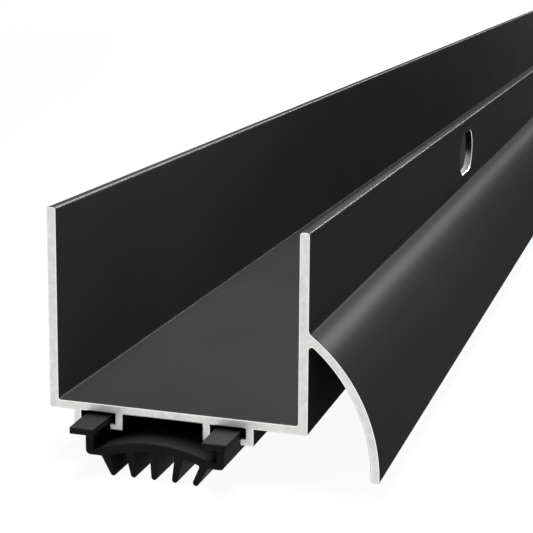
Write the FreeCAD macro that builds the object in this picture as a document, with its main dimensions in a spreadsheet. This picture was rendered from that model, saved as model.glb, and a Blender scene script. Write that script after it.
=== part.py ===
import FreeCAD, Part
import os
import Sketcher

# U-shaped door bottom sweep.
# One aluminium extrusion holds the door's bottom edge between two walls. Under its base are two
# lipped T slots for a finned rubber seal, and a curved drip edge springs from its right wall.
# X runs across the door, Y along it and Z up. The origin is the middle of the channel's floor,
# where the door's bottom edge is seated. The near end of the photograph is the -Y end.

SIZES = (
    ("sweep_length", "914.4", "whole length, for a 36 in door"),
    ("inner_width", "45.5", "between the walls, for a 44.45 mm door"),
    ("left_wall_height", "35.8", "from the channel's floor to the top of the left wall"),
    ("right_wall_height", "34.4", "the same for the right wall, which carries the drip edge"),
    ("wall_thickness", "1.9", "both walls"),
    ("base_thickness", "1.65", "channel's floor"),
    ("wall_top_round", "0.65", "edges along the top of each wall"),
    ("floor_corner_round", "0.4", "where each wall meets the floor"),
    ("base_corner_round", "0.5", "lower outer corners"),
    ("seal_offset", "2.5", "the seal's centre plane lies this far left of the door's"),
    ("slot_spacing", "24.9", "between the centres of the two T slots"),
    ("slot_width", "6.6", "inside a T slot"),
    ("slot_depth", "1.8", "from the base down to the lips"),
    ("slot_mouth", "4.4", "opening between the lips"),
    ("slot_wall_thickness", "1.55", "each leg of a T slot"),
    ("lip_thickness", "1.3", "each lip of a T slot"),
    ("lip_round", "0.25", "edges of the lips"),
    ("drip_root_height", "16.8", "where the drip edge springs from the wall, above the floor"),
    ("drip_radius", "30.8", "outer face of the drip edge"),
    ("drip_reach", "12.9", "from the wall out to the drip edge's hanging tip"),
    ("drip_thickness", "1.65", "drip edge"),
    ("drip_lip", "0.55", "straight end of the drip edge below its arc"),
    ("drip_upper_fillet", "1.2", "above the drip edge's root"),
    ("drip_lower_fillet", "0.5", "below the drip edge's root"),
    ("drip_tip_round", "0.5", "both edges of the tip"),
    ("screw_slot_length", "20.0", "end to end, along the door"),
    ("screw_slot_radius", "5.65", "half the slot's height"),
    ("screw_slot_height", "25.1", "slot's centre above the floor"),
    ("screw_slot_pitch", "198.8", "between neighbouring slots"),
    ("screw_slot_count", "4", "slots along the right wall"),
    ("flange_width", "5.0", "seal's flange, across the T slot"),
    ("flange_thickness", "1.2", "seal's flange"),
    ("flange_lift", "0.1", "running clearance between flange and lips"),
    ("stem_thickness", "1.5", "seal's stem in the slot's mouth"),
    ("foot_depth", "8.25", "underside of the seal's feet, below the floor"),
    ("foot_thickness", "1.25", "seal's feet"),
    ("foot_round", "0.9", "outer lower corner of each foot"),
    ("arch_radius", "28.7", "top of the seal's arch"),
    ("arch_crown_depth", "4.85", "crown of the arch, below the floor"),
    ("arch_thickness", "1.7", "seal's arch"),
    ("foot_lap", "0.4", "how far each foot runs in past the arch's underside"),
    ("fin_count", "5", "fins under the arch"),
    ("fin_root_pitch", "4.85", "between neighbouring fins at the arch"),
    ("fin_tip_pitch", "3.93", "between neighbouring fins at the tips"),
    ("fin_root_thickness", "1.75", "fin where it leaves the arch"),
    ("fin_tip_radius", "0.56", "rounded tip of a fin"),
    ("fin_tip_depth", "11.58", "tip of the middle fin, below the floor"),
    ("fin_tip_bow", "0.03", "drop of a tip from the middle one's, over the square of its place"),
    ("seal_proud", "4.0", "seal's arch and fins past the near end of the channel"),
    ("flange_proud", "7.5", "seal's flanges past the near end of the channel"),
)

document = FreeCAD.newDocument("DoorSweep")
sheet = document.addObject("Spreadsheet::Sheet", "Sizes")
for row, (alias, number, meaning) in enumerate(SIZES, start=1):
    sheet.set(f"A{row}", alias)
    sheet.set(f"B{row}", number)
    sheet.setAlias(f"B{row}", alias)
    sheet.set(f"C{row}", meaning)
document.recompute()


def value(expression):
    """Number that an expression on the sheet comes to."""
    return float(sheet.evalExpression(expression))


# Helpers for bodies and sketches

CROSS_SECTION = "XZ_Plane"
SIDE_VIEW = "YZ_Plane"
ALONG = "Y_Axis"
NORMAL = FreeCAD.Vector(0, 0, 1)
START, END, CENTRE = 1, 2, 3
ORIGIN = -1
EDGE_MATCH = 0.01


def new_body(label):
    body = document.addObject("PartDesign::Body", label)
    body.Label = label
    return body


def origin_feature(body, role):
    return next(feature for feature in body.Origin.OriginFeatures if feature.Role == role)


def new_sketch(body, name, plane):
    sketch = body.newObject("Sketcher::SketchObject", name)
    sketch.AttachmentSupport = [(origin_feature(body, plane), "")]
    sketch.MapMode = "FlatFace"
    return sketch


def place(across, up):
    """Sketch point at a pair of expressions."""
    return FreeCAD.Vector(value(across), value(up), 0)


def bind(sketch, constraint, expression):
    index = sketch.addConstraint(constraint)
    sketch.setExpression(f"Constraints[{index}]", expression)


def pin(sketch, geometry, end, across=None, up=None):
    """Holds a point of the sketch at expressions measured from the origin."""
    for kind, expression in (("DistanceX", across), ("DistanceY", up)):
        if expression is not None:
            distance = Sketcher.Constraint(kind, ORIGIN, START, geometry, end, value(expression))
            bind(sketch, distance, expression)


def add_line(sketch, first, last):
    return sketch.addGeometry(Part.LineSegment(first, last), False)


def add_arc(sketch, centre, first, last):
    """Arc that runs anticlockwise from one point to another about a centre."""
    circle = Part.Circle(centre, NORMAL, (first - centre).Length)
    arc = Part.ArcOfCircle(circle, circle.parameter(first), circle.parameter(last))
    return sketch.addGeometry(arc, False)


def join(sketch, one, one_end, other, other_end):
    sketch.addConstraint(Sketcher.Constraint("Coincident", one, one_end, other, other_end))


def add_outline(sketch, corners):
    """Closed outline of straight lines, with every corner pinned."""
    points = [place(*corner) for corner in corners]
    lines = [add_line(sketch, first, last) for first, last in zip(points, points[1:] + points[:1])]
    for number, line in enumerate(lines):
        join(sketch, line, END, lines[(number + 1) % len(lines)], START)
        pin(sketch, line, START, *corners[number])


def pad_along(body, sketch, name, near, far):
    """Extrudes a cross-section from the origin plane to both ends of the sweep."""
    pad = body.newObject("PartDesign::Pad", name)
    pad.Profile = sketch
    pad.SideType = "Two sides"
    pad.setExpression("Length", near)
    pad.setExpression("Length2", far)
    document.recompute()
    return pad


def edges_along(feature, places):
    """Names of the long edges that run through the given places of the cross-section."""
    names = []
    for number, edge in enumerate(feature.Shape.Edges, start=1):
        first, last = edge.Vertexes[0].Point, edge.Vertexes[-1].Point
        if abs(first.x - last.x) + abs(first.z - last.z) > EDGE_MATCH:
            continue
        for across, up in places:
            if abs(first.x - across) < EDGE_MATCH and abs(first.z - up) < EDGE_MATCH:
                names.append(f"Edge{number}")
    return names


def round_edges(body, feature, name, radius, places):
    """Rounds the long edges at places given as expressions."""
    fillet = body.newObject("PartDesign::Fillet", name)
    fillet.Base = (feature, edges_along(feature, [(value(across), value(up)) for across, up in places]))
    fillet.setExpression("Radius", radius)
    document.recompute()
    return fillet


HALF_LENGTH = "Sizes.sweep_length / 2"

# Channel extrusion: walls and base

INSIDE = "Sizes.inner_width / 2"
OUTSIDE = f"({INSIDE} + Sizes.wall_thickness)"
LEFT_WALL_TOP = "Sizes.left_wall_height"
RIGHT_WALL_TOP = "Sizes.right_wall_height"
FLOOR = "0"
UNDERSIDE = "-Sizes.base_thickness"

channel = new_body("channel_extrusion")
channel_sketch = new_sketch(channel, "channel_section", CROSS_SECTION)
add_outline(channel_sketch, [
    (f"-{OUTSIDE}", UNDERSIDE),
    (OUTSIDE, UNDERSIDE),
    (OUTSIDE, RIGHT_WALL_TOP),
    (INSIDE, RIGHT_WALL_TOP),
    (INSIDE, FLOOR),
    (f"-{INSIDE}", FLOOR),
    (f"-{INSIDE}", LEFT_WALL_TOP),
    (f"-{OUTSIDE}", LEFT_WALL_TOP),
])
pad_along(channel, channel_sketch, "channel_walls", HALF_LENGTH, HALF_LENGTH)

# Channel extrusion: four lipped legs that make the two T slots

LIP_TOP = "-(Sizes.base_thickness + Sizes.slot_depth)"
LIP_BOTTOM = f"({LIP_TOP} - Sizes.lip_thickness)"


def slot_centre(side):
    return f"({side} * Sizes.slot_spacing / 2 - Sizes.seal_offset)"


rail_sketch = new_sketch(channel, "rail_section", CROSS_SECTION)
rail_corners = []
for slot_side in (-1, 1):
    for leg_side in (-1, 1):
        leg_inner = f"{slot_centre(slot_side)} + {leg_side} * Sizes.slot_width / 2"
        leg_outer = f"{leg_inner} + {leg_side} * Sizes.slot_wall_thickness"
        lip_edge = f"{slot_centre(slot_side)} + {leg_side} * Sizes.slot_mouth / 2"
        add_outline(rail_sketch, [
            (leg_outer, UNDERSIDE),
            (leg_outer, LIP_BOTTOM),
            (lip_edge, LIP_BOTTOM),
            (lip_edge, LIP_TOP),
            (leg_inner, LIP_TOP),
            (leg_inner, UNDERSIDE),
        ])
        rail_corners += [(leg_outer, LIP_BOTTOM), (lip_edge, LIP_BOTTOM), (lip_edge, LIP_TOP)]
rails = pad_along(channel, rail_sketch, "slot_rails", HALF_LENGTH, HALF_LENGTH)

# Channel extrusion: drip edge, an arc about a centre level with the end of its curve

DRIP_OUTER_X = f"({OUTSIDE} + Sizes.drip_reach)"
DRIP_INNER_X = f"({DRIP_OUTER_X} - Sizes.drip_thickness)"
DRIP_CENTRE_X = f"({DRIP_OUTER_X} - Sizes.drip_radius)"
ROOT_RUN = f"({OUTSIDE} - {DRIP_CENTRE_X})"
DRIP_CENTRE_Z = f"(Sizes.drip_root_height - sqrt(Sizes.drip_radius ^ 2 - {ROOT_RUN} ^ 2))"
DRIP_INNER_RADIUS = "(Sizes.drip_radius - Sizes.drip_thickness)"
DRIP_LOWER_ROOT = f"({DRIP_CENTRE_Z} + sqrt({DRIP_INNER_RADIUS} ^ 2 - {ROOT_RUN} ^ 2))"
DRIP_TIP = f"({DRIP_CENTRE_Z} - Sizes.drip_lip)"

drip_sketch = new_sketch(channel, "drip_section", CROSS_SECTION)
drip_centre = place(DRIP_CENTRE_X, DRIP_CENTRE_Z)
outer_arc = add_arc(drip_sketch, drip_centre, place(DRIP_OUTER_X, DRIP_CENTRE_Z),
                    place(OUTSIDE, "Sizes.drip_root_height"))
root_line = add_line(drip_sketch, place(OUTSIDE, "Sizes.drip_root_height"), place(OUTSIDE, DRIP_LOWER_ROOT))
inner_arc = add_arc(drip_sketch, drip_centre, place(DRIP_INNER_X, DRIP_CENTRE_Z),
                    place(OUTSIDE, DRIP_LOWER_ROOT))
inner_line = add_line(drip_sketch, place(DRIP_INNER_X, DRIP_CENTRE_Z), place(DRIP_INNER_X, DRIP_TIP))
tip_line = add_line(drip_sketch, place(DRIP_INNER_X, DRIP_TIP), place(DRIP_OUTER_X, DRIP_TIP))
outer_line = add_line(drip_sketch, place(DRIP_OUTER_X, DRIP_TIP), place(DRIP_OUTER_X, DRIP_CENTRE_Z))
for arc, radius in ((outer_arc, "Sizes.drip_radius"), (inner_arc, DRIP_INNER_RADIUS)):
    pin(drip_sketch, arc, CENTRE, DRIP_CENTRE_X, DRIP_CENTRE_Z)
    bind(drip_sketch, Sketcher.Constraint("Radius", arc, value(radius)), radius)
    pin(drip_sketch, arc, START, up=DRIP_CENTRE_Z)
    pin(drip_sketch, arc, END, across=OUTSIDE)
join(drip_sketch, outer_arc, END, root_line, START)
join(drip_sketch, root_line, END, inner_arc, END)
join(drip_sketch, inner_arc, START, inner_line, START)
join(drip_sketch, inner_line, END, tip_line, START)
join(drip_sketch, tip_line, END, outer_line, START)
join(drip_sketch, outer_line, END, outer_arc, START)
pin(drip_sketch, tip_line, START, DRIP_INNER_X, DRIP_TIP)
pin(drip_sketch, tip_line, END, DRIP_OUTER_X, DRIP_TIP)
drip = pad_along(channel, drip_sketch, "drip_edge", HALF_LENGTH, HALF_LENGTH)

# Channel extrusion: rounded edges, along the whole length

rounded = round_edges(channel, drip, "drip_upper_root", "Sizes.drip_upper_fillet",
                      [(OUTSIDE, "Sizes.drip_root_height")])
rounded = round_edges(channel, rounded, "drip_lower_root", "Sizes.drip_lower_fillet",
                      [(OUTSIDE, DRIP_LOWER_ROOT)])
rounded = round_edges(channel, rounded, "drip_tip_edges", "Sizes.drip_tip_round",
                      [(DRIP_OUTER_X, DRIP_TIP), (DRIP_INNER_X, DRIP_TIP)])
rounded = round_edges(channel, rounded, "wall_top_edges", "Sizes.wall_top_round",
                      [(f"{side}{face}", top) for side, top in (("", RIGHT_WALL_TOP), ("-", LEFT_WALL_TOP))
                       for face in (INSIDE, OUTSIDE)])
rounded = round_edges(channel, rounded, "floor_corners", "Sizes.floor_corner_round",
                      [(INSIDE, FLOOR), (f"-{INSIDE}", FLOOR)])
rounded = round_edges(channel, rounded, "base_corners", "Sizes.base_corner_round",
                      [(OUTSIDE, UNDERSIDE), (f"-{OUTSIDE}", UNDERSIDE)])
rounded = round_edges(channel, rounded, "rail_edges", "Sizes.lip_round", rail_corners)

# Channel extrusion: slotted screw holes through the right wall, above the drip edge

SLOT_HALF_RUN = "(Sizes.screw_slot_length / 2 - Sizes.screw_slot_radius)"
FIRST_SLOT_Y = "(-(Sizes.screw_slot_count - 1) * Sizes.screw_slot_pitch / 2)"
SLOT_Z = "Sizes.screw_slot_height"

slot_sketch = new_sketch(channel, "screw_slot_outline", SIDE_VIEW)
slot_near_y = f"({FIRST_SLOT_Y} - {SLOT_HALF_RUN})"
slot_far_y = f"({FIRST_SLOT_Y} + {SLOT_HALF_RUN})"
slot_top = f"({SLOT_Z} + Sizes.screw_slot_radius)"
slot_bottom = f"({SLOT_Z} - Sizes.screw_slot_radius)"
near_round = add_arc(slot_sketch, place(slot_near_y, SLOT_Z), place(slot_near_y, slot_top),
                     place(slot_near_y, slot_bottom))
lower_edge = add_line(slot_sketch, place(slot_near_y, slot_bottom), place(slot_far_y, slot_bottom))
far_round = add_arc(slot_sketch, place(slot_far_y, SLOT_Z), place(slot_far_y, slot_bottom),
                    place(slot_far_y, slot_top))
upper_edge = add_line(slot_sketch, place(slot_far_y, slot_top), place(slot_near_y, slot_top))
slot_sides = (near_round, lower_edge, far_round, upper_edge)
for number, side in enumerate(slot_sides):
    join(slot_sketch, side, END, slot_sides[(number + 1) % len(slot_sides)], START)
for end_round, end_y in ((near_round, slot_near_y), (far_round, slot_far_y)):
    pin(slot_sketch, end_round, CENTRE, end_y, SLOT_Z)
    pin(slot_sketch, end_round, START, across=end_y)
    pin(slot_sketch, end_round, END, across=end_y)
    bind(slot_sketch, Sketcher.Constraint("Radius", end_round, value("Sizes.screw_slot_radius")),
         "Sizes.screw_slot_radius")

volume_before_slots = rounded.Shape.Volume
screw_slot = channel.newObject("PartDesign::Pocket", "screw_slot")
screw_slot.Profile = slot_sketch
screw_slot.Type = "ThroughAll"
screw_slot.Reversed = True
document.recompute()
screw_slots = channel.newObject("PartDesign::LinearPattern", "screw_slots")
screw_slots.Originals = [screw_slot]
screw_slots.Direction = (origin_feature(channel, ALONG), [""])
screw_slots.setExpression("Length", "(Sizes.screw_slot_count - 1) * Sizes.screw_slot_pitch")
screw_slots.setExpression("Occurrences", "Sizes.screw_slot_count")
channel.Tip = screw_slots
document.recompute()

# Finned seal: flanges in the T slots, drawn about the seal's own centre plane

NEAR_SEAL = f"{HALF_LENGTH} + Sizes.seal_proud"
NEAR_FLANGE = f"{HALF_LENGTH} + Sizes.flange_proud"
FLANGE_BOTTOM = f"({LIP_TOP} + Sizes.flange_lift)"
FLANGE_TOP = f"({FLANGE_BOTTOM} + Sizes.flange_thickness)"
FOOT_BOTTOM = "-Sizes.foot_depth"
FOOT_TOP = f"({FOOT_BOTTOM} + Sizes.foot_thickness)"
STEM_INNER = "(Sizes.slot_spacing / 2 - Sizes.stem_thickness / 2)"
STEM_OUTER = "(Sizes.slot_spacing / 2 + Sizes.stem_thickness / 2)"

seal = new_body("finned_seal")
seal.setExpression("Placement.Base.x", "-Sizes.seal_offset")

flange_sketch = new_sketch(seal, "flange_section", CROSS_SECTION)
for side in (-1, 1):
    flange_left = f"{side} * Sizes.slot_spacing / 2 - Sizes.flange_width / 2"
    flange_right = f"{side} * Sizes.slot_spacing / 2 + Sizes.flange_width / 2"
    add_outline(flange_sketch, [
        (flange_left, FLANGE_BOTTOM),
        (flange_right, FLANGE_BOTTOM),
        (flange_right, FLANGE_TOP),
        (flange_left, FLANGE_TOP),
    ])

# Finned seal: stems that hang from the flanges and turn in at the feet, where the arch springs

MIDDLE = "0"
ARCH_CENTRE_Z = "(-Sizes.arch_crown_depth - Sizes.arch_radius)"
ARCH_INNER_RADIUS = "(Sizes.arch_radius - Sizes.arch_thickness)"


def arc_offset(radius, along):
    """How far an arc about the arch's centre lies from that centre, at an offset the other way."""
    return f"sqrt({radius} ^ 2 - ({along}) ^ 2)"


ARCH_TOP_END = arc_offset("Sizes.arch_radius", f"{FOOT_TOP} - {ARCH_CENTRE_Z}")
ARCH_UNDERSIDE_END = arc_offset(ARCH_INNER_RADIUS, f"{FOOT_BOTTOM} - {ARCH_CENTRE_Z}")

leg_sketch = new_sketch(seal, "leg_section", CROSS_SECTION)
for side in (-1, 1):
    foot_inner = f"{side} * ({ARCH_UNDERSIDE_END} - Sizes.foot_lap)"
    add_outline(leg_sketch, [
        (f"{side} * {STEM_OUTER}", FLANGE_BOTTOM),
        (f"{side} * {STEM_OUTER}", FOOT_BOTTOM),
        (foot_inner, FOOT_BOTTOM),
        (foot_inner, FOOT_TOP),
        (f"{side} * {STEM_INNER}", FOOT_TOP),
        (f"{side} * {STEM_INNER}", FLANGE_BOTTOM),
    ])
legs = pad_along(seal, leg_sketch, "stems_and_feet", NEAR_SEAL, HALF_LENGTH)
legs = round_edges(seal, legs, "foot_corners", "Sizes.foot_round",
                   [(f"{side} * {STEM_OUTER}", FOOT_BOTTOM) for side in (-1, 1)])

# Finned seal: shallow arch between the feet

arch_sketch = new_sketch(seal, "arch_section", CROSS_SECTION)
arch_centre = place(MIDDLE, ARCH_CENTRE_Z)
arch_arcs = []
for radius, half_span, height in (
    ("Sizes.arch_radius", ARCH_TOP_END, FOOT_TOP),
    (ARCH_INNER_RADIUS, ARCH_UNDERSIDE_END, FOOT_BOTTOM),
):
    arc = add_arc(arch_sketch, arch_centre, place(half_span, height), place(f"-{half_span}", height))
    pin(arch_sketch, arc, CENTRE, MIDDLE, ARCH_CENTRE_Z)
    pin(arch_sketch, arc, START, up=height)
    pin(arch_sketch, arc, END, up=height)
    bind(arch_sketch, Sketcher.Constraint("Radius", arc, value(radius)), radius)
    arch_arcs.append(arc)
for arc_end, side in ((START, ""), (END, "-")):
    arch_end = add_line(arch_sketch, place(f"{side}{ARCH_TOP_END}", FOOT_TOP),
                        place(f"{side}{ARCH_UNDERSIDE_END}", FOOT_BOTTOM))
    join(arch_sketch, arch_end, START, arch_arcs[0], arc_end)
    join(arch_sketch, arch_end, END, arch_arcs[1], arc_end)
pad_along(seal, arch_sketch, "arch", NEAR_SEAL, HALF_LENGTH)

# Finned seal: tapered fins that lean in towards the centre plane, each with a rounded tip

FIN_TIP_Z = "(-Sizes.fin_tip_depth + Sizes.fin_tip_radius)"
FIN_ROOT_RADIUS = "(Sizes.arch_radius - Sizes.arch_thickness / 2)"

fin_sketch = new_sketch(seal, "fin_section", CROSS_SECTION)
for number in range(int(value("Sizes.fin_count"))):
    from_middle = f"({number} - (Sizes.fin_count - 1) / 2)"
    root_middle = f"{from_middle} * Sizes.fin_root_pitch"
    tip_middle = f"{from_middle} * Sizes.fin_tip_pitch"
    root_z = f"({ARCH_CENTRE_Z} + {arc_offset(FIN_ROOT_RADIUS, root_middle)})"
    root_left = f"{root_middle} - Sizes.fin_root_thickness / 2"
    root_right = f"{root_middle} + Sizes.fin_root_thickness / 2"
    tip_z = f"({FIN_TIP_Z} - Sizes.fin_tip_bow * {from_middle} ^ 2)"
    tip_left = place(f"{tip_middle} - Sizes.fin_tip_radius", tip_z)
    tip_right = place(f"{tip_middle} + Sizes.fin_tip_radius", tip_z)
    root = add_line(fin_sketch, place(root_right, root_z), place(root_left, root_z))
    left_flank = add_line(fin_sketch, place(root_left, root_z), tip_left)
    tip = add_arc(fin_sketch, place(tip_middle, tip_z), tip_left, tip_right)
    right_flank = add_line(fin_sketch, tip_right, place(root_right, root_z))
    pin(fin_sketch, root, START, root_right, root_z)
    pin(fin_sketch, root, END, root_left, root_z)
    pin(fin_sketch, tip, CENTRE, tip_middle, tip_z)
    tip_radius = Sketcher.Constraint("Radius", tip, value("Sizes.fin_tip_radius"))
    bind(fin_sketch, tip_radius, "Sizes.fin_tip_radius")
    join(fin_sketch, root, END, left_flank, START)
    join(fin_sketch, right_flank, END, root, START)
    fin_sketch.addConstraint(Sketcher.Constraint("Tangent", left_flank, END, tip, START))
    fin_sketch.addConstraint(Sketcher.Constraint("Tangent", tip, END, right_flank, START))
pad_along(seal, fin_sketch, "fins", NEAR_SEAL, HALF_LENGTH)
pad_along(seal, flange_sketch, "flanges", NEAR_FLANGE, HALF_LENGTH)

# Checks and files

document.recompute()
for item in document.Objects:
    if "Invalid" in item.State or "Error" in item.State:
        raise RuntimeError(f"{item.Label} failed: {item.State}")
if screw_slots.Shape.Volume >= volume_before_slots:
    raise RuntimeError("the screw slots cut nothing")

os.makedirs("parts", exist_ok=True)
for body in (channel, seal):
    if body.Shape.isNull() or not body.Shape.isValid() or len(body.Shape.Solids) != 1:
        raise RuntimeError(f"{body.Label} isn't one valid solid")
    body.Shape.exportStep(f"parts/{body.Label}.step")
    print(body.Label, round(body.Shape.Volume, 1), body.Shape.BoundBox)
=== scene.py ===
import math

import bmesh
import bpy
from mathutils import Matrix, Vector


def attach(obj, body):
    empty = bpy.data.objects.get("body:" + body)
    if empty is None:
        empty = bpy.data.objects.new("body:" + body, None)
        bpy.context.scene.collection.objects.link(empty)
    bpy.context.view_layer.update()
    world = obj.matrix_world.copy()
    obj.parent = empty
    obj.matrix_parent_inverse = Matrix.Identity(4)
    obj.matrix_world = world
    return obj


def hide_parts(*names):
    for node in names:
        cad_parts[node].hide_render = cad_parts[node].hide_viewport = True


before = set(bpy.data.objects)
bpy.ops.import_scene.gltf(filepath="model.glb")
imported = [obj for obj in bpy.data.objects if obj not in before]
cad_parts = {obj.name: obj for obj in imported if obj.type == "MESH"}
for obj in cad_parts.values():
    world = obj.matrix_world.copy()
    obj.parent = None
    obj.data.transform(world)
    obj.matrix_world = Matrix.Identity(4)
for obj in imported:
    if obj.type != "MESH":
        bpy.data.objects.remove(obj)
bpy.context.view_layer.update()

# U-shaped door bottom sweep: a black anodised channel with a drip edge, and a finned rubber seal.
# X runs across the door, Y along it and Z up, and the origin is the middle of the channel's floor.
# The cut ends that the photograph shows are at -Y. Sizes are in millimetres until mm() turns them.


def mm(size):
    """Millimetres as Blender's metres."""
    return size / 1000


# Sizes of the aluminium extrusion, as in the part's source. The rails and the seal lie SEAL_OFFSET to
# the left of its middle.
HALF_LENGTH = 914.4 / 2
WALL_THICKNESS = 1.9
INSIDE = 45.5 / 2
OUTSIDE = INSIDE + WALL_THICKNESS
LEFT_WALL_TOP = 35.8
RIGHT_WALL_TOP = 34.4
UNDERSIDE = -1.65
WALL_TOP_ROUND = 0.65
FLOOR_CORNER_ROUND = 0.4
BASE_CORNER_ROUND = 0.5
SEAL_OFFSET = 2.5
RAIL_SPACING = 24.9
RAIL_CENTRES = (RAIL_SPACING / 2, -RAIL_SPACING / 2)
SLOT_HALF_WIDTH = 6.6 / 2
LEG_THICKNESS = 1.55
MOUTH_HALF_WIDTH = 4.4 / 2
LIP_TOP = UNDERSIDE - 1.8
LIP_BOTTOM = LIP_TOP - 1.3
LIP_ROUND = 0.25
DRIP_THICKNESS = 1.65
DRIP_ROOT_TOP = 16.8
DRIP_OUTER_X = OUTSIDE + 12.9
DRIP_RADIUS = 30.8
DRIP_INNER_RADIUS = DRIP_RADIUS - DRIP_THICKNESS
DRIP_INNER_X = DRIP_OUTER_X - DRIP_THICKNESS
DRIP_CENTRE_X = DRIP_OUTER_X - DRIP_RADIUS
DRIP_CENTRE_Z = DRIP_ROOT_TOP - math.sqrt(DRIP_RADIUS ** 2 - (OUTSIDE - DRIP_CENTRE_X) ** 2)
DRIP_TIP = DRIP_CENTRE_Z - 0.55
DRIP_UPPER_FILLET = 1.2
DRIP_LOWER_FILLET = 0.5
DRIP_TIP_ROUND = 0.5

# Sizes of the slotted screw holes in the right wall
SCREW_SLOT_LENGTH = 20.0
SCREW_SLOT_RADIUS = 5.65
SCREW_SLOT_HALF_RUN = SCREW_SLOT_LENGTH / 2 - SCREW_SLOT_RADIUS
SCREW_SLOT_Z = 25.1
SCREW_SLOT_PITCH = 198.8
SCREW_SLOT_CENTRES = [SCREW_SLOT_PITCH * place for place in (-1.5, -0.5, 0.5, 1.5)]

# Sizes of the rubber seal, drawn about its own centre plane
STEM_THICKNESS = 1.5
STEM_INNER = (RAIL_SPACING - STEM_THICKNESS) / 2
STEM_OUTER = (RAIL_SPACING + STEM_THICKNESS) / 2
FLANGE_HALF_WIDTH = 5.0 / 2
FLANGE_BOTTOM = LIP_TOP + 0.1
FLANGE_TOP = FLANGE_BOTTOM + 1.2
FOOT_BOTTOM = -8.25
FOOT_TOP = FOOT_BOTTOM + 1.25
FOOT_ROUND = 0.9
ARCH_TOP = -4.85
ARCH_THICKNESS = 1.7
ARCH_RADIUS = 28.7
ARCH_INNER_RADIUS = ARCH_RADIUS - ARCH_THICKNESS
ARCH_CENTRE_Z = ARCH_TOP - ARCH_RADIUS
FIN_PLACES = (-2, -1, 0, 1, 2)
FIN_ROOT_PITCH = 4.85
FIN_TIP_PITCH = 3.93
FIN_ROOT_HALF = 1.75 / 2
FIN_TIP_RADIUS = 0.56
MIDDLE_FIN_END = -11.58
FIN_TIP_BOW = 0.03
SEAL_PROUD = 4.0
FLANGE_PROUD = 7.5

# Small breaks of the edges, which the source leaves to the scene. The edge of a sawn end is drawn in
# by BARE_INSET at the cut and by BLACK_INSET at BARE_DEPTH, and is full at BLACK_DEPTH.
BARE_INSET = 0.23
BARE_DEPTH = 0.05
BLACK_INSET = 0.09
BLACK_DEPTH = 0.20
BORE_EDGE = 0.11
CUTTER_CLEAR = 0.3
RUBBER_EDGE = 0.14
RUBBER_CORNER = 0.12
RUBBER_ROOT = 0.35
STEM_SUNK = 0.4

# The tabs, which are the flanges' free ends at the near end of the seal, and the shares of their
# length at which they can bend
TAB_TAPER = 0.27
TAB_DROOP = 0.08
TAB_STEPS = (0.75, 0.5, 0.25, 0)

# How finely rounds, screw slots and long curves are drawn, and the angle that still shades as a round
ROUND_STEP = 12.0
BORE_STEP = 6.0
SWEEP_STEP = 2.0
SHARP_ANGLE = 29.0


# Outlines of the two cross-sections

def along_arc(centre, radius, start, end, step):
    """Points of an arc from one angle to another, in degrees, both ends included."""
    count = max(2, math.ceil(abs(end - start) / step))
    angles = [math.radians(start + (end - start) * number / count) for number in range(count + 1)]
    return [(centre[0] + radius * math.cos(a), centre[1] + radius * math.sin(a)) for a in angles]


def angle_about(centre, point):
    """Direction of a point from a centre, in degrees."""
    return math.degrees(math.atan2(point[1] - centre[1], point[0] - centre[0]))


def rounded_corner(before, corner, after, radius):
    """Points that take one corner of an outline round."""
    tip = Vector(corner)
    back, ahead = (Vector(before) - tip).normalized(), (Vector(after) - tip).normalized()
    half = back.angle(ahead) / 2
    centre = tip + (back + ahead).normalized() * (radius / math.sin(half))
    start = angle_about(centre, tip + back * (radius / math.tan(half)))
    end = angle_about(centre, tip + ahead * (radius / math.tan(half)))
    end += 360 * round((start - end) / 360)
    return along_arc(centre, radius, start, end, ROUND_STEP)


def outline(corners):
    """Closed outline through corners of (across, up, round)."""
    points = []
    for number, (across, up, radius) in enumerate(corners):
        if radius:
            before, after = corners[number - 1][:2], corners[(number + 1) % len(corners)][:2]
            points += rounded_corner(before, (across, up), after, radius)
        else:
            points.append((across, up))
    return points


def sharp(points):
    """Corners of an outline that stay as they are."""
    return [(across, up, 0) for across, up in points]


def root_centre(fillet, reach):
    """Centre of a root fillet, which touches the wall and lies at a reach from the drip edge's centre."""
    across = OUTSIDE + fillet
    return across, DRIP_CENTRE_Z + math.sqrt(reach ** 2 - (across - DRIP_CENTRE_X) ** 2)


def drip_edge_corners():
    """The drip edge from its upper root on the wall, round its tip and back to its lower root."""
    centre = (DRIP_CENTRE_X, DRIP_CENTRE_Z)
    upper = root_centre(DRIP_UPPER_FILLET, DRIP_RADIUS + DRIP_UPPER_FILLET)
    lower = root_centre(DRIP_LOWER_FILLET, DRIP_INNER_RADIUS - DRIP_LOWER_FILLET)
    leaving, arriving = angle_about(centre, upper), angle_about(centre, lower)
    corners = sharp(along_arc(upper, DRIP_UPPER_FILLET, 180, 180 + leaving, ROUND_STEP))
    corners += sharp(along_arc(centre, DRIP_RADIUS, leaving, 0, SWEEP_STEP)[1:])
    corners += [(DRIP_OUTER_X, DRIP_TIP, DRIP_TIP_ROUND), (DRIP_INNER_X, DRIP_TIP, DRIP_TIP_ROUND)]
    corners += sharp(along_arc(centre, DRIP_INNER_RADIUS, 0, arriving, SWEEP_STEP))
    corners += sharp(along_arc(lower, DRIP_LOWER_FILLET, arriving, 180, ROUND_STEP)[1:])
    return corners


def rail_corners(centre):
    """The two lipped legs of one T slot, from right to left along the underside."""
    corners = []
    for side in (1, -1):
        inner = centre + side * SLOT_HALF_WIDTH
        outer = inner + side * LEG_THICKNESS
        mouth = centre + side * MOUTH_HALF_WIDTH
        leg = [
            (outer, UNDERSIDE, 0),
            (outer, LIP_BOTTOM, LIP_ROUND),
            (mouth, LIP_BOTTOM, LIP_ROUND),
            (mouth, LIP_TOP, LIP_ROUND),
            (inner, LIP_TOP, 0),
            (inner, UNDERSIDE, 0),
        ]
        corners += leg if side == 1 else leg[::-1]
    return corners


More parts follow.
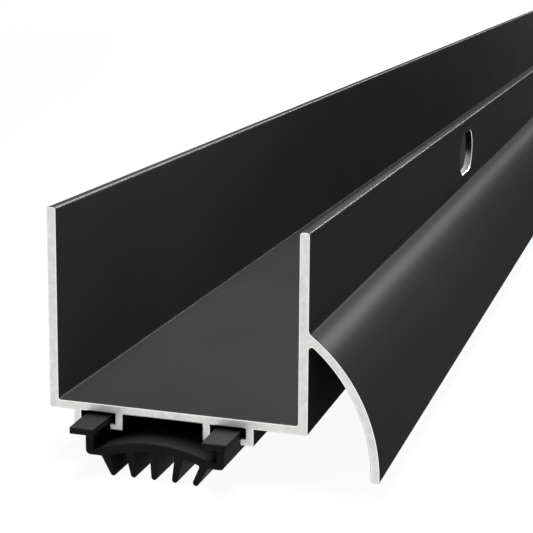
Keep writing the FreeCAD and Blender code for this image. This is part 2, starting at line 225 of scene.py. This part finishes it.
def channel_outline():
    """Walls, floor, drip edge and rails, clockwise from the bottom left corner."""
    corners = [
        (-OUTSIDE, UNDERSIDE, BASE_CORNER_ROUND),
        (-OUTSIDE, LEFT_WALL_TOP, WALL_TOP_ROUND),
        (-INSIDE, LEFT_WALL_TOP, WALL_TOP_ROUND),
        (-INSIDE, 0, FLOOR_CORNER_ROUND),
        (INSIDE, 0, FLOOR_CORNER_ROUND),
        (INSIDE, RIGHT_WALL_TOP, WALL_TOP_ROUND),
        (OUTSIDE, RIGHT_WALL_TOP, WALL_TOP_ROUND),
    ]
    corners += drip_edge_corners()
    corners.append((OUTSIDE, UNDERSIDE, BASE_CORNER_ROUND))
    for centre in RAIL_CENTRES:
        corners += rail_corners(centre - SEAL_OFFSET)
    return outline(corners)


def arch_crossing(root, tip):
    """Where the line of a fin's flank comes out of the underside of the arch."""
    start, run = Vector(root), Vector(tip) - Vector(root)
    offset = start - Vector((0, ARCH_CENTRE_Z))
    a, b, c = run.dot(run), 2 * run.dot(offset), offset.dot(offset) - ARCH_INNER_RADIUS ** 2
    return start + run * ((-b - math.sqrt(b * b - 4 * a * c)) / (2 * a))


def fin_corners(place):
    """One fin from its left root to its right root, with a rounded tip."""
    root_x = place * FIN_ROOT_PITCH
    root_z = ARCH_CENTRE_Z + math.sqrt(((ARCH_RADIUS + ARCH_INNER_RADIUS) / 2) ** 2 - root_x ** 2)
    tip = Vector((place * FIN_TIP_PITCH, MIDDLE_FIN_END + FIN_TIP_RADIUS - FIN_TIP_BOW * place ** 2))
    corners, angles = [], []
    for side in (-1, 1):
        root = Vector((root_x + side * FIN_ROOT_HALF, root_z))
        reach = root - tip
        opening = math.degrees(math.acos(FIN_TIP_RADIUS / reach.length))
        angles.append(angle_about(tip, root) - side * opening)
        touch = along_arc(tip, FIN_TIP_RADIUS, angles[-1], angles[-1], ROUND_STEP)[0]
        crossing = arch_crossing(root, touch)
        # An outer fin's outer flank comes out of the flat foot instead
        if crossing.y < FOOT_BOTTOM:
            share = (FOOT_BOTTOM - root.y) / (touch[1] - root.y)
            crossing = root.lerp(Vector(touch), share)
        corners.append((crossing.x, crossing.y, RUBBER_ROOT))
    start, end = angles[0] % 360, angles[1] % 360
    end += 360 if end < start else 0
    return corners[:1] + sharp(along_arc(tip, FIN_TIP_RADIUS, start, end, ROUND_STEP)) + corners[1:]


def seal_outline():
    """Stems, feet, arch and fins; the tops of the stems run up into the flanges."""
    arch_centre = (0, ARCH_CENTRE_Z)
    stem_top = FLANGE_BOTTOM + STEM_SUNK
    corners = [(-STEM_OUTER, stem_top, 0), (-STEM_OUTER, FOOT_BOTTOM, FOOT_ROUND)]
    for place in FIN_PLACES:
        fin = fin_corners(place)
        if place != FIN_PLACES[0]:
            start, end = angle_about(arch_centre, corners[-1]), angle_about(arch_centre, fin[0])
            corners += sharp(along_arc(arch_centre, ARCH_INNER_RADIUS, start, end, SWEEP_STEP)[1:-1])
        corners += fin
    corners += [
        (STEM_OUTER, FOOT_BOTTOM, FOOT_ROUND),
        (STEM_OUTER, stem_top, 0),
        (STEM_INNER, stem_top, 0),
        (STEM_INNER, FOOT_TOP, RUBBER_ROOT),
    ]
    spring = math.degrees(math.asin((FOOT_TOP - ARCH_CENTRE_Z) / ARCH_RADIUS))
    corners += sharp(along_arc(arch_centre, ARCH_RADIUS, spring, 180 - spring, SWEEP_STEP))
    corners += [(-STEM_INNER, FOOT_TOP, RUBBER_ROOT), (-STEM_INNER, stem_top, 0)]
    return [(across - SEAL_OFFSET, up) for across, up in outline(corners)]


def flange_outline(centre):
    """One flat flange about the middle of its T slot."""
    left, right = centre - FLANGE_HALF_WIDTH, centre + FLANGE_HALF_WIDTH
    return outline([
        (left, FLANGE_BOTTOM, RUBBER_CORNER),
        (right, FLANGE_BOTTOM, RUBBER_CORNER),
        (right, FLANGE_TOP, RUBBER_CORNER),
        (left, FLANGE_TOP, RUBBER_CORNER),
    ])


# Meshes, whose faces carry the number of their finish

SKIN, CUT_END, BROKEN_EDGE, BORE, RUBBED_EDGE = range(5)

# How far the rubbed part of a wall top's round faces to the side, from 0 for straight up to 1 for level
RUBBED_FACING = (0.6, 0.8)


def area_of(points):
    """Area inside an outline, below 0 where the outline runs clockwise."""
    return sum(a[0] * b[1] - b[0] * a[1] for a, b in zip(points, points[1:] + points[:1])) / 2


def drawn_in(points, distance):
    """The outline moved into the metal by a distance, corner by corner."""
    moved = []
    for number, point in enumerate(points):
        before = (Vector(point) - Vector(points[number - 1])).normalized()
        after = (Vector(points[(number + 1) % len(points)]) - Vector(point)).normalized()
        inward = Vector((-before.y - after.y, before.x + after.x))
        moved.append(Vector(point) + inward * (distance / (1 + before.dot(after))))
    return [tuple(point) for point in moved]


def joined_rings(shape, rings, bands, near_finish, far_finish):
    """Closes a row of rings of vertices into a solid, with the number of each band's finish."""
    for first, second, finish in zip(rings, rings[1:], bands):
        for number in range(len(first)):
            after = (number + 1) % len(first)
            face = shape.faces.new((first[number], second[number], second[after], first[after]))
            face.material_index = finish
    shape.faces.new(rings[0]).material_index = near_finish
    shape.faces.new(rings[-1][::-1]).material_index = far_finish


def extruded(name, points, stations, bands, finishes):
    """A cross-section drawn out along Y through stations of (along, how far it is drawn in)."""
    if area_of(points) < 0:
        points = points[::-1]
    shape = bmesh.new()
    rings = []
    for along, inset in stations:
        ring = drawn_in(points, inset) if inset else points
        rings.append([shape.verts.new((mm(x), mm(along), mm(z))) for x, z in ring])
    joined_rings(shape, rings, bands, CUT_END, CUT_END)
    return finished_mesh(shape, name, finishes)


def sawn_channel(finishes):
    """The aluminium extrusion, with a bare and a black band round the edge of each sawn end."""
    near = [
        (-HALF_LENGTH, BARE_INSET),
        (-HALF_LENGTH + BARE_DEPTH, BLACK_INSET),
        (-HALF_LENGTH + BLACK_DEPTH, 0),
    ]
    far = [(-along, inset) for along, inset in reversed(near)]
    bands = [BROKEN_EDGE, SKIN, SKIN, SKIN, BROKEN_EDGE]
    return extruded("channel_with_drip_edge", channel_outline(), near + far, bands, finishes)


def rubber_length(name, points, proud, finishes):
    """A rubber section from past the near end of the channel to its far end."""
    near = -HALF_LENGTH - proud
    stations = [(near, RUBBER_EDGE), (near + RUBBER_EDGE, 0)]
    stations += [(-HALF_LENGTH - proud * share, 0) for share in TAB_STEPS]
    stations.append((HALF_LENGTH, 0))
    return extruded(name, points, stations, [BROKEN_EDGE] + [SKIN] * (len(stations) - 2), finishes)


def drooped(tab, centre):
    """Lets the free end of a flange narrow and sag a little, as rubber does past its slot."""
    for vertex in tab.data.vertices:
        share = max(0, -HALF_LENGTH - vertex.co.y * 1000) / FLANGE_PROUD
        across = (vertex.co.x * 1000 - centre) / FLANGE_HALF_WIDTH
        vertex.co.x -= mm(TAB_TAPER * share * across)
        vertex.co.z -= mm(TAB_DROOP * share ** 2)


def screw_slot_cutter(name, centre, finishes):
    """The tool that mills one slotted hole through the right wall and breaks both of its edges."""
    levels = [
        (INSIDE - CUTTER_CLEAR, CUTTER_CLEAR),
        (INSIDE + BORE_EDGE, -BORE_EDGE),
        (OUTSIDE - BORE_EDGE, -BORE_EDGE),
        (OUTSIDE + CUTTER_CLEAR, CUTTER_CLEAR),
    ]
    shape = bmesh.new()
    rings = []
    for across, growth in levels:
        radius = SCREW_SLOT_RADIUS + growth
        points = along_arc((centre - SCREW_SLOT_HALF_RUN, SCREW_SLOT_Z), radius, 90, 270, BORE_STEP)
        points += along_arc((centre + SCREW_SLOT_HALF_RUN, SCREW_SLOT_Z), radius, -90, 90, BORE_STEP)
        rings.append([shape.verts.new((mm(across), mm(y), mm(z))) for y, z in points])
    joined_rings(shape, rings, [BORE, BORE, BROKEN_EDGE], BORE, BORE)
    return finished_mesh(shape, name, finishes)


def finished_mesh(shape, name, finishes):
    """Turns a drawn shape into a piece of the scene that carries its finishes."""
    bmesh.ops.recalc_face_normals(shape, faces=shape.faces)
    mesh = bpy.data.meshes.new(name)
    shape.to_mesh(mesh)
    shape.free()
    for finish in finishes:
        mesh.materials.append(finish)
    piece = bpy.data.objects.new(name, mesh)
    bpy.context.scene.collection.objects.link(piece)
    return piece


def combined(piece, tools, operation):
    """Cuts tools from a piece or joins them to it, and clears them away."""
    for tool in tools:
        step = piece.modifiers.new(tool.name, "BOOLEAN")
        step.operation = operation
        step.solver = "EXACT"
        step.object = tool
    bpy.context.view_layer.update()
    result = bpy.data.meshes.new_from_object(piece.evaluated_get(bpy.context.evaluated_depsgraph_get()))
    piece.modifiers.clear()
    piece.data = result
    for tool in tools:
        bpy.data.objects.remove(tool)


def rubbed(piece):
    """Marks the right-hand rounds of the wall tops, which shine where they have been handled."""
    least, most = RUBBED_FACING
    for face in piece.data.polygons:
        on_round = face.center.z > mm(RIGHT_WALL_TOP - WALL_TOP_ROUND) and least < face.normal.x < most
        if face.material_index == SKIN and on_round:
            face.material_index = RUBBED_EDGE


def shaded(piece):
    """Keeps flat faces flat, rounds smooth and borders between finishes crisp, but for a rubbed round."""
    piece.data.shade_smooth()
    piece.data.set_sharp_from_angle(angle=math.radians(SHARP_ANGLE))
    shape = bmesh.new()
    shape.from_mesh(piece.data)
    for edge in shape.edges:
        finishes = {face.material_index for face in edge.link_faces}
        if len(finishes) > 1 and finishes != {SKIN, RUBBED_EDGE}:
            edge.smooth = False
    shape.to_mesh(piece.data)
    shape.free()
    normals = piece.modifiers.new("flat_faces_stay_flat", "WEIGHTED_NORMAL")
    normals.keep_sharp = True
    normals.weight = 100


# Materials

def linear(colour):
    """sRGB hex colour as linear red, green, blue and alpha."""
    channels = [int(colour[place:place + 2], 16) / 255 for place in (1, 3, 5)]
    return [c / 12.92 if c <= 0.04045 else ((c + 0.055) / 1.055) ** 2.4 for c in channels] + [1]


def add_node(tree, kind, settings=None, links=None):
    """Adds a node with its settings and the sockets that feed its inputs."""
    node = tree.nodes.new(kind)
    for name, setting in (settings or {}).items():
        if isinstance(name, int) or name in node.inputs:
            node.inputs[name].default_value = setting
        else:
            setattr(node, name, setting)
    for name, source in (links or {}).items():
        tree.links.new(source, node.inputs[name])
    return node


def new_material(name):
    """An empty material and its node tree."""
    material = bpy.data.materials.new(name)
    material.use_nodes = True
    material.node_tree.nodes.clear()
    return material, material.node_tree


# Black anodised aluminium, extruded and etched before it was dyed: a satin black skin with faint
# drawing lines along its length and a slightly cloudy tone. The metal under the dyed skin gives it a
# weak sheen, which is stronger where an edge is rubbed. It is drawn as a thin coat whose high index
# makes it reflect face on as metal does, and not only at a shallow angle. The die's lines and the
# etched grain are a few hundredths of a millimetre wide, too fine to show, so they are drawn as coarse
# as DIE_LINE and ETCH_GRAIN.
DIE_LINE = 1.3
DIE_LINE_LENGTH = 400.0
ETCH_GRAIN = 0.6
SHEEN_CLOUD = 28.0
SHEEN_INDEX = 4.0
SKIN_SHEEN = 0.016
EDGE_SHEEN = 0.095


def black_anodised_aluminium(name, sheen):
    material, tree = new_material(name)
    place = add_node(tree, "ShaderNodeTexCoord").outputs["Object"]
    drawn = add_node(tree, "ShaderNodeMapping",
                     {"Scale": (1 / mm(DIE_LINE), 1 / mm(DIE_LINE_LENGTH), 1 / mm(DIE_LINE))},
                     {"Vector": place}).outputs[0]
    lines = add_node(tree, "ShaderNodeTexNoise", {"Scale": 1.0, "Detail": 2.0}, {"Vector": drawn}).outputs[0]
    grain = add_node(tree, "ShaderNodeTexNoise", {"Scale": 1 / mm(ETCH_GRAIN), "Detail": 1.0},
                     {"Vector": place}).outputs[0]
    cloud = add_node(tree, "ShaderNodeTexNoise", {"Scale": 1 / mm(SHEEN_CLOUD), "Detail": 3.0},
                     {"Vector": place}).outputs[0]
    relief = add_node(tree, "ShaderNodeMath", {"operation": "MULTIPLY_ADD", 1: 0.6},
                      {0: lines, 2: grain}).outputs[0]
    bump = add_node(tree, "ShaderNodeBump", {"Strength": 0.05, "Distance": mm(0.02)},
                    {"Height": relief}).outputs[0]
    roughness = add_node(tree, "ShaderNodeMapRange",
                         {"From Min": 0.3, "From Max": 0.7, "To Min": 0.28, "To Max": 0.33},
                         {"Value": cloud}).outputs[0]
    colour = add_node(tree, "ShaderNodeMix",
                      {"data_type": "RGBA", 6: linear("#1a1a1a"), 7: linear("#1f1f1f")},
                      {0: cloud}).outputs[2]
    shader = add_node(tree, "ShaderNodeBsdfPrincipled",
                      {"Specular IOR Level": 0.0, "Coat Weight": sheen, "Coat IOR": SHEEN_INDEX,
                       "Coat Roughness": 0.28},
                      {"Base Color": colour, "Roughness": roughness, "Normal": bump, "Coat Normal": bump})
    add_node(tree, "ShaderNodeOutputMaterial", links={"Surface": shader.outputs[0]})
    return material


# Bare aluminium, cross-cut with a saw after anodising: bright silver grey, with fine scratches and
# soft cloudy patches where the blade smeared the metal. The scratches are about a tenth of a millimetre
# wide and are drawn SAW_SCRATCH wide to show.
SAW_SCRATCH = 0.3
SAW_SCRATCH_LENGTH = 6.0
SAW_TILT = 38
SMEAR = 1.3


def sawn_aluminium():
    material, tree = new_material("sawn_aluminium")
    place = add_node(tree, "ShaderNodeTexCoord").outputs["Object"]
    across = add_node(tree, "ShaderNodeMapping",
                      {"Rotation": (0, math.radians(SAW_TILT), 0),
                       "Scale": (1 / mm(SAW_SCRATCH), 1, 1 / mm(SAW_SCRATCH_LENGTH))},
                      {"Vector": place}).outputs[0]
    scratches = add_node(tree, "ShaderNodeTexNoise", {"Scale": 1.0, "Detail": 3.0},
                         {"Vector": across}).outputs[0]
    smears = add_node(tree, "ShaderNodeTexNoise",
                      {"Scale": 1 / mm(SMEAR), "Detail": 6.0, "Roughness": 0.75},
                      {"Vector": place}).outputs[0]
    patches = add_node(tree, "ShaderNodeMapRange", {"From Min": 0.35, "From Max": 0.65},
                       {"Value": smears}).outputs[0]
    colour = add_node(tree, "ShaderNodeMix",
                      {"data_type": "RGBA", 6: linear("#cdcdcb"), 7: linear("#e1e1df")},
                      {0: patches}).outputs[2]
    bump = add_node(tree, "ShaderNodeBump", {"Strength": 0.15, "Distance": mm(0.02)},
                    {"Height": scratches}).outputs[0]
    shader = add_node(tree, "ShaderNodeBsdfPrincipled", {"Metallic": 1.0, "Roughness": 0.45},
                      {"Base Color": colour, "Normal": bump})
    add_node(tree, "ShaderNodeOutputMaterial", links={"Surface": shader.outputs[0]})
    return material


# Bare aluminium where an edge was broken with a deburring tool: smoother and brighter than the saw
# cut, with the tool's chatter in its gloss.
DEBURRING_CHATTER = 1.2


def deburred_aluminium():
    material, tree = new_material("deburred_aluminium")
    place = add_node(tree, "ShaderNodeTexCoord").outputs["Object"]
    chatter = add_node(tree, "ShaderNodeTexNoise", {"Scale": 1 / mm(DEBURRING_CHATTER), "Detail": 2.0},
                       {"Vector": place}).outputs[0]
    roughness = add_node(tree, "ShaderNodeMapRange",
                         {"From Min": 0.3, "From Max": 0.7, "To Min": 0.25, "To Max": 0.4},
                         {"Value": chatter}).outputs[0]
    shader = add_node(tree, "ShaderNodeBsdfPrincipled",
                      {"Base Color": linear("#f4f4f2"), "Metallic": 1.0}, {"Roughness": roughness})
    add_node(tree, "ShaderNodeOutputMaterial", links={"Surface": shader.outputs[0]})
    return material


# The milled bore of a screw slot: grey aluminium along its bottom, painted darker up to black at its top as
# painted shade, with the cutter's marks round it, which are drawn somewhat coarse to show.
# Heights over which the bore's painted shade grows from none to full black
PAINTED_SHADE_FROM = SCREW_SLOT_Z - 8.5
PAINTED_SHADE_FULL = SCREW_SLOT_Z - 0.5
CUTTER_MARK = 0.35
CUTTER_MARK_LENGTH = 5.0


def milled_bore():
    material, tree = new_material("milled_bore_painted_shade_above")
    place = add_node(tree, "ShaderNodeTexCoord").outputs["Object"]
    round_bore = 1 / mm(CUTTER_MARK_LENGTH)
    turned = add_node(tree, "ShaderNodeMapping",
                      {"Scale": (1 / mm(CUTTER_MARK), round_bore, round_bore)},
                      {"Vector": place}).outputs[0]
    marks = add_node(tree, "ShaderNodeTexNoise", {"Scale": 1.0, "Detail": 2.0},
                     {"Vector": turned}).outputs[0]
    height = add_node(tree, "ShaderNodeSeparateXYZ", links={0: place}).outputs[2]
    # Painted shade: the colour goes from grey at the bottom of the bore to black at its top.
    painted_shade_share = add_node(tree, "ShaderNodeMapRange",
                         {"From Min": mm(PAINTED_SHADE_FROM), "From Max": mm(PAINTED_SHADE_FULL)},
                         {"Value": height}).outputs[0]
    colour = add_node(tree, "ShaderNodeMix",
                      {"data_type": "RGBA", 6: linear("#646462"), 7: linear("#0c0c0c")},
                      {0: painted_shade_share}).outputs[2]
    bump = add_node(tree, "ShaderNodeBump", {"Strength": 0.2, "Distance": mm(0.02)},
                    {"Height": marks}).outputs[0]
    shader = add_node(tree, "ShaderNodeBsdfPrincipled",
                      {"Metallic": 0.5, "Roughness": 0.5, "Specular IOR Level": 0.1},
                      {"Base Color": colour, "Normal": bump})
    add_node(tree, "ShaderNodeOutputMaterial", links={"Surface": shader.outputs[0]})
    return material


# Extruded EPDM rubber: matt black, with drag lines along it, the fine pits of a cured skin and a
# slight bloom. The pits are a few hundredths of a millimetre wide and are drawn RUBBER_PIT apart to show.
RUBBER_PIT = 0.3
DRAG_LINE = 0.6
DRAG_LINE_LENGTH = 60.0
BLOOM = 14.0


def extruded_rubber():
    material, tree = new_material("extruded_epdm_rubber")
    place = add_node(tree, "ShaderNodeTexCoord").outputs["Object"]
    drawn = add_node(tree, "ShaderNodeMapping",
                     {"Scale": (1 / mm(DRAG_LINE), 1 / mm(DRAG_LINE_LENGTH), 1 / mm(DRAG_LINE))},
                     {"Vector": place}).outputs[0]
    lines = add_node(tree, "ShaderNodeTexNoise", {"Scale": 1.0, "Detail": 2.0}, {"Vector": drawn}).outputs[0]
    pits = add_node(tree, "ShaderNodeTexNoise", {"Scale": 1 / mm(RUBBER_PIT), "Detail": 2.0},
                    {"Vector": place}).outputs[0]
    relief = add_node(tree, "ShaderNodeMath", {"operation": "MULTIPLY_ADD", 1: 0.8},
                      {0: lines, 2: pits}).outputs[0]
    bump = add_node(tree, "ShaderNodeBump", {"Strength": 0.15, "Distance": mm(0.03)},
                    {"Height": relief}).outputs[0]
    bloom = add_node(tree, "ShaderNodeTexNoise", {"Scale": 1 / mm(BLOOM), "Detail": 3.0},
                     {"Vector": place}).outputs[0]
    colour = add_node(tree, "ShaderNodeMix",
                      {"data_type": "RGBA", 6: linear("#0b0b0b"), 7: linear("#101010")},
                      {0: bloom}).outputs[2]
    roughness = add_node(tree, "ShaderNodeMapRange",
                         {"From Min": 0.3, "From Max": 0.7, "To Min": 0.55, "To Max": 0.68},
                         {"Value": bloom}).outputs[0]
    shader = add_node(tree, "ShaderNodeBsdfPrincipled", {"Specular IOR Level": 0.06},
                      {"Base Color": colour, "Roughness": roughness, "Normal": bump})
    add_node(tree, "ShaderNodeOutputMaterial", links={"Surface": shader.outputs[0]})
    return material


# Channel: the extrusion, its four milled screw slots and its sawn ends

metal = [
    black_anodised_aluminium("black_anodised_aluminium", SKIN_SHEEN),
    sawn_aluminium(),
    deburred_aluminium(),
    milled_bore(),
    black_anodised_aluminium("anodised_edge_rubbed_bright", EDGE_SHEEN),
]
channel = sawn_channel(metal)
cutters = [screw_slot_cutter(f"screw_slot_{number}", centre, metal)
           for number, centre in enumerate(SCREW_SLOT_CENTRES, start=1)]
combined(channel, cutters, "DIFFERENCE")
rubbed(channel)
shaded(channel)
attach(channel, "channel")
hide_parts("channel_extrusion")

# Seal: fins, arch and stems in one, with its two flanges in the channel's T slots. Its skin, cut ends
# and broken edges have one finish.

rubber = [extruded_rubber()] * 3
seal = rubber_length("rubber_seal", seal_outline(), SEAL_PROUD, rubber)
flanges = []
for number, centre in enumerate(RAIL_CENTRES, start=1):
    flange = rubber_length(f"flange_{number}", flange_outline(centre - SEAL_OFFSET), FLANGE_PROUD, rubber)
    drooped(flange, centre - SEAL_OFFSET)
    flanges.append(flange)
combined(seal, flanges, "UNION")
shaded(seal)
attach(seal, "seal")
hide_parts("finned_seal")

# Camera, fitted to the photograph's edges and vanishing point

PHOTO_PIXELS = 533
FOCAL_PIXELS = 1425.5
SENSOR = 36.0
CAMERA_PLACE = (88.22, -685.19, 84.81)
CAMERA_YAW, CAMERA_PITCH, CAMERA_ROLL = (math.radians(angle) for angle in (-17.398, 9.11, 0.4))
FRAME_SHIFT = -0.2

forward = Vector((math.sin(CAMERA_YAW) * math.cos(CAMERA_PITCH),
                  math.cos(CAMERA_YAW) * math.cos(CAMERA_PITCH), -math.sin(CAMERA_PITCH)))
level = Vector((math.cos(CAMERA_YAW), -math.sin(CAMERA_YAW), 0))
upright = level.cross(forward)
right = level * math.cos(CAMERA_ROLL) + upright * math.sin(CAMERA_ROLL)
up = upright * math.cos(CAMERA_ROLL) - level * math.sin(CAMERA_ROLL)

lens = bpy.data.cameras.new("photo_camera")
lens.sensor_width = SENSOR
lens.lens = FOCAL_PIXELS / PHOTO_PIXELS * SENSOR
lens.shift_y = FRAME_SHIFT
lens.clip_start, lens.clip_end = mm(10), mm(20000)
camera = bpy.data.objects.new("photo_camera", lens)
bpy.context.scene.collection.objects.link(camera)
turned = Matrix((right, up, -forward)).transposed().to_4x4()
camera.matrix_world = Matrix.Translation([mm(c) for c in CAMERA_PLACE]) @ turned
bpy.context.scene.camera = camera

# Floor: pale studio floor that keeps the object's shadow and runs out to the white background. It
# lies just under the tips of the outer fins.

FLOOR_LEVEL = -11.75
FLOOR_HALF = 6000.0
FLOOR_FLECK = 40.0
SHADOW_REACH = (250.0, 900.0)
SHADOW_SHARE = 0.92


def shown_white(tree):
    """Gives 1 where the camera, gloss or glass looks at the studio, and 0 where the studio gives light."""
    path = add_node(tree, "ShaderNodeLightPath")
    seen = add_node(tree, "ShaderNodeMath", {"operation": "MAXIMUM"},
                    {0: path.outputs["Is Camera Ray"], 1: path.outputs["Is Glossy Ray"]}).outputs[0]
    return add_node(tree, "ShaderNodeMath", {"operation": "MAXIMUM"},
                    {0: seen, 1: path.outputs["Is Transmission Ray"]}).outputs[0]


def pale_floor():
    """Matt pale floor, which the camera and reflections see paler the further it is from the sweep."""
    material, tree = new_material("matt_pale_studio_floor")
    place = add_node(tree, "ShaderNodeTexCoord").outputs["Object"]
    fleck = add_node(tree, "ShaderNodeTexNoise", {"Scale": 1 / mm(FLOOR_FLECK), "Detail": 2.0},
                     {"Vector": place}).outputs[0]
    colour = add_node(tree, "ShaderNodeMix",
                      {"data_type": "RGBA", 6: linear("#eeeeee"), 7: linear("#f4f4f4")},
                      {0: fleck}).outputs[2]
    distance = add_node(tree, "ShaderNodeVectorMath", {"operation": "LENGTH"}, {0: place}).outputs["Value"]
    near, far = SHADOW_REACH
    white = add_node(tree, "ShaderNodeMapRange",
                     {"From Min": mm(near), "From Max": mm(far), "To Min": SHADOW_SHARE, "To Max": 1.0},
                     {"Value": distance}).outputs[0]
    share = add_node(tree, "ShaderNodeMath", {"operation": "MULTIPLY"},
                     {0: shown_white(tree), 1: white}).outputs[0]
    matt = add_node(tree, "ShaderNodeBsdfPrincipled", {"Roughness": 0.9, "Specular IOR Level": 0.0},
                    {"Base Color": colour}).outputs[0]
    background = add_node(tree, "ShaderNodeEmission",
                          {"Color": linear("#ffffff"), "Strength": 1.0}).outputs[0]
    surface = add_node(tree, "ShaderNodeMixShader", links={0: share, 1: matt, 2: background}).outputs[0]
    add_node(tree, "ShaderNodeOutputMaterial", links={"Surface": surface})
    return material


floor_mesh = bpy.data.meshes.new("studio_floor")
floor_mesh.from_pydata([(mm(x * FLOOR_HALF), mm(y * FLOOR_HALF), mm(FLOOR_LEVEL))
                        for x, y in ((-1, -1), (1, -1), (1, 1), (-1, 1))], [], [(0, 1, 2, 3)])
floor_mesh.materials.append(pale_floor())
floor = bpy.data.objects.new("studio_floor", floor_mesh)
bpy.context.scene.collection.objects.link(floor)

# World: white to the camera and in reflections, a plain pale fill for everything else

FILL = 0.08

world = bpy.data.worlds.new("white_studio")
bpy.context.scene.world = world
world.use_nodes = True
sky = world.node_tree
sky.nodes.clear()
strength = add_node(sky, "ShaderNodeMapRange", {"To Min": FILL, "To Max": 1.0},
                    {"Value": shown_white(sky)}).outputs[0]
backdrop = add_node(sky, "ShaderNodeBackground", {"Color": linear("#ffffff")},
                    {"Strength": strength}).outputs[0]
add_node(sky, "ShaderNodeOutputWorld", links={"Surface": backdrop})

# Soft boxes: place and target in millimetres, width and height in millimetres, and brightness, where
# 1 shows as white. Blender counts four watts a square metre for that.
WATTS_FOR_WHITE = 4

SOFT_BOXES = (
    ("strip_box_right", (417, 750, 442), (0, 750, 10), 1100, 40, 106.0),
    ("strip_box_far_right", (417, 3250, 442), (0, 3250, 10), 3900, 40, 55.0),
    ("soft_box_overhead", (0, 315, 150), (1, 315, 0), 1710, 60, 10.5),
    ("soft_box_over_near_end", (0, -405, 120), (1, -405, 0), 130, 60, 14.0),
)

for name, place, target, width, height, brightness in SOFT_BOXES:
    lamp = bpy.data.lights.new(name, "AREA")
    lamp.shape = "RECTANGLE"
    lamp.size, lamp.size_y = mm(width), mm(height)
    lamp.energy = brightness * WATTS_FOR_WHITE * lamp.size * lamp.size_y
    box = bpy.data.objects.new(name, lamp)
    box.location = [mm(c) for c in place]
    aim = Vector(target) - Vector(place)
    box.rotation_euler = aim.to_track_quat("-Z", "Y").to_euler()
    box.visible_camera = False
    bpy.context.scene.collection.objects.link(box)

bpy.context.scene.view_settings.view_transform = "Standard"
